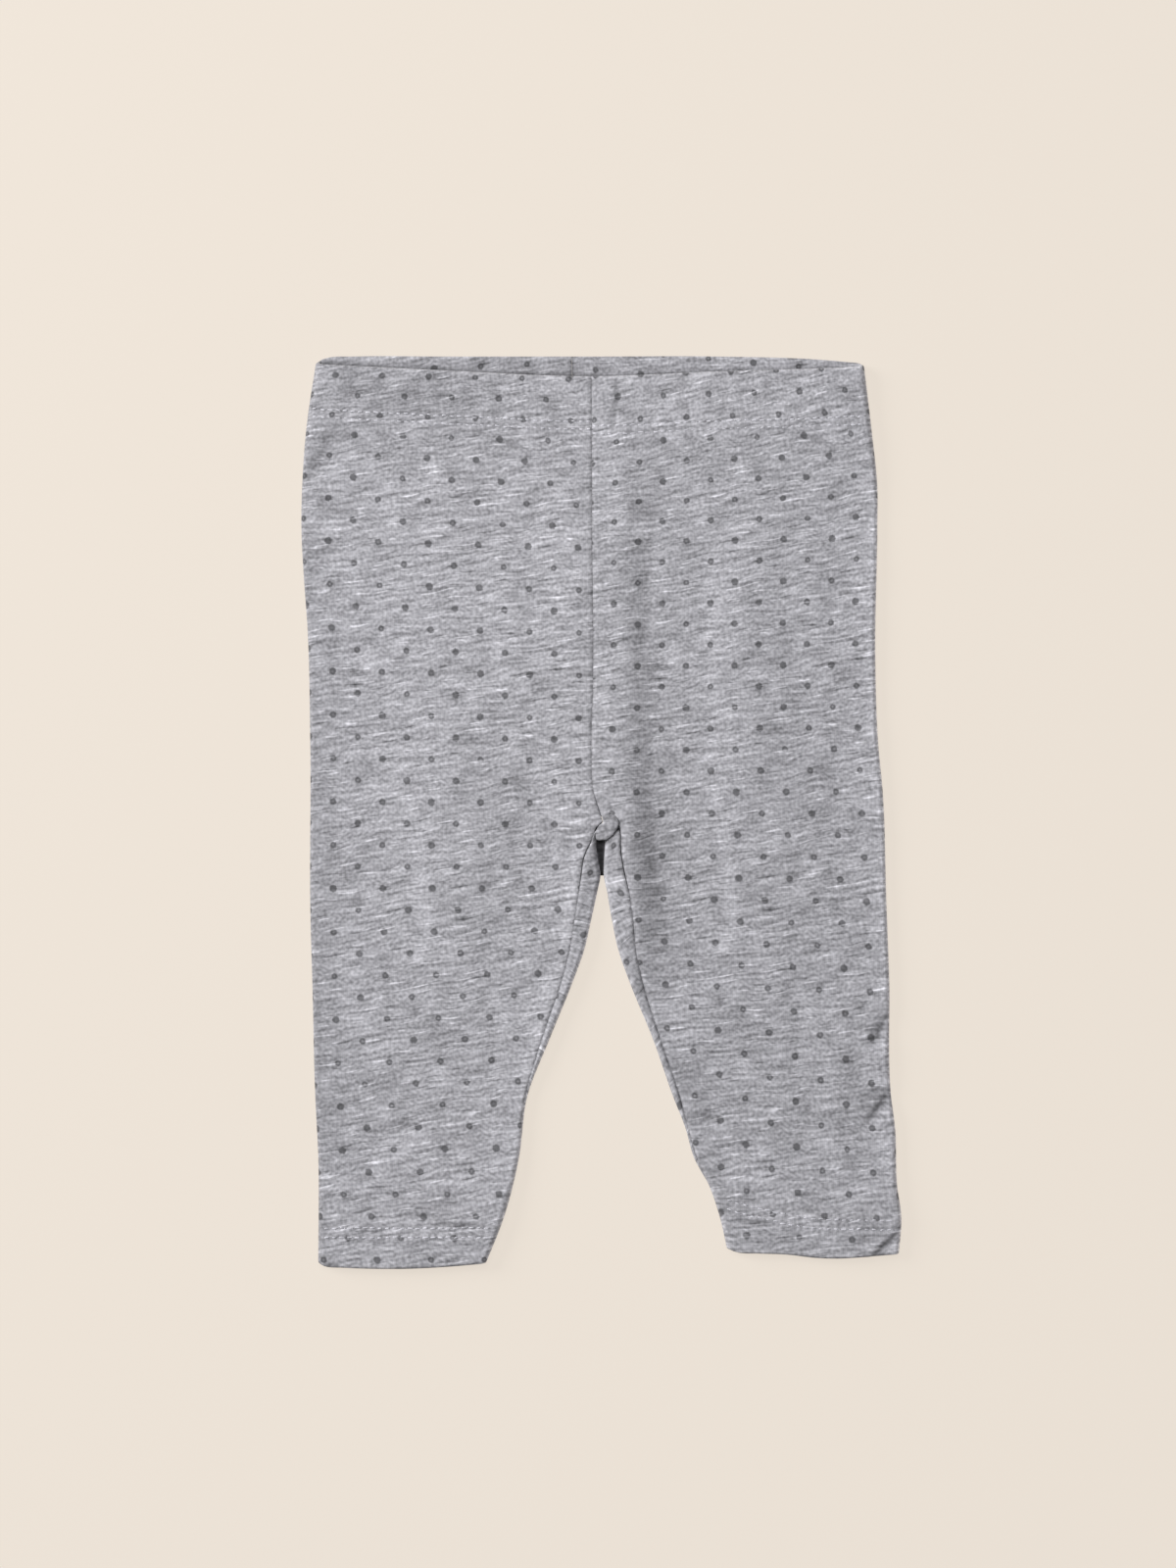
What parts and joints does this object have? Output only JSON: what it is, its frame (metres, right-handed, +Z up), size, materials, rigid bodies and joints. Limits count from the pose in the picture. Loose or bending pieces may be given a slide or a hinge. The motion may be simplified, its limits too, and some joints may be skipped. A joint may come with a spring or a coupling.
{
  "type": "leggings",
  "caption": "Slub jersey leggings for a baby, laid flat with the front up: elastic waist casing, one inseam, centre seams, turned-up ankle hems.",
  "frame": {"origin": "on the surface the garment lies on, at the middle of its box", "axes": "+Y towards the waist, +Z up through the front, +X towards the wearer's left leg"},
  "size_m": [0.2372, 0.3602, 0.005],
  "materials": {
    "jersey": "grey melange slub cotton jersey with small printed dark grey dots, matte",
    "casing": "the same jersey, turned down over elastic, faintly rippled",
    "hem": "the same jersey, turned up in two layers and coverstitched"
  },
  "bodies": {
    "root": {"leg_right": "jersey", "leg_left": "jersey", "waistband_right": "casing", "waistband_left": "casing", "hem_right": "hem", "hem_left": "hem"}
  },
  "joints": []
}
